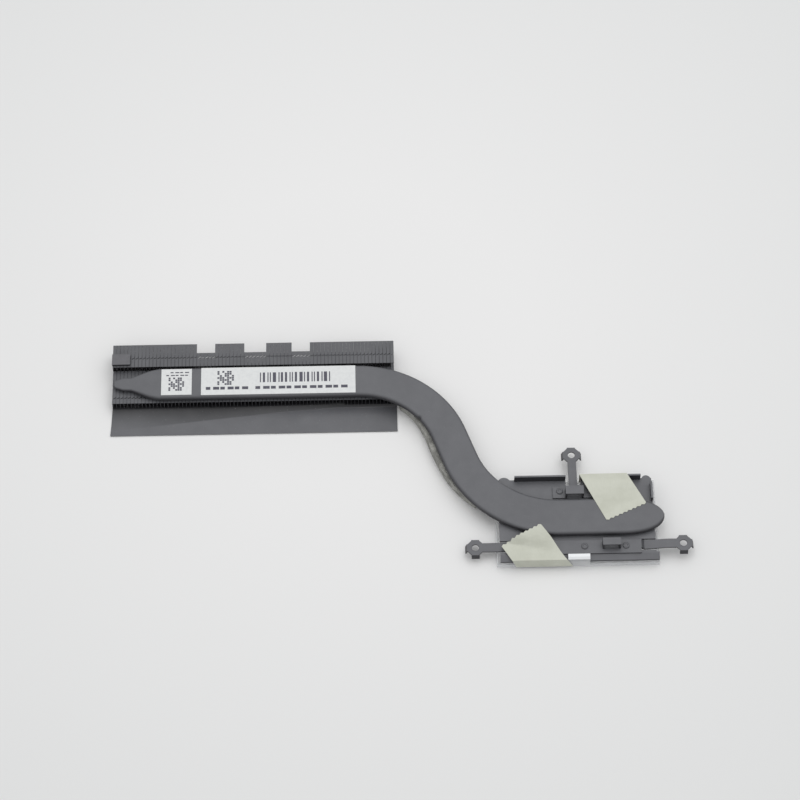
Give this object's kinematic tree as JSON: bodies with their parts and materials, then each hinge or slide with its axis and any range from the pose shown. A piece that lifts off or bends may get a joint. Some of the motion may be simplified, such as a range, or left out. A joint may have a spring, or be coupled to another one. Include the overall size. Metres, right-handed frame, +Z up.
{
  "type": "flat heat pipe cooling module",
  "caption": "Flattened S-bent heat pipe that carries heat from a sprung base plate to a stack of folded fins.",
  "frame": {"origin": "middle of the underside, where the module lies on a table", "axes": "+X from the crimped pipe end to the base plate end, +Y to the raised back strip of the fins, +Z up"},
  "size_m": [0.1894, 0.0842, 0.0074],
  "materials": {
    "fin_black": "matte black coating",
    "pipe_black": "matte black coating",
    "plate_black": "matte black coating",
    "bracket_black": "matte black coating",
    "pad_black": "matte",
    "film_black": "satin",
    "label_white": "matte",
    "ink": "matte",
    "foam_grey": "matte",
    "copper": "satin",
    "paste_grey": "matte",
    "clear_plastic": "gloss",
    "tape": "matte"
  },
  "bodies": {
    "root": {"fins_left_block": "fin_black", "fins_notch_1": "fin_black", "fins_block_2": "fin_black", "fins_notch_2": "fin_black", "fins_block_3": "fin_black", "fins_notch_3": "fin_black", "fins_right_block": "fin_black", "heat_pipe": "pipe_black", "end_pad": "pad_black", "air_film": "film_black", "label_small": "label_white", "label_long": "label_white", "label_marks": "ink", "foam_strip": "foam_grey", "base_plate": "plate_black", "lower_spring_bracket": "bracket_black", "upper_spring_bracket": "bracket_black", "rivets": "bracket_black", "contact_block": "copper", "thermal_paste": "paste_grey", "paste_cover": "clear_plastic", "tape_back": "tape", "tape_front": "tape"}
  },
  "joints": []
}
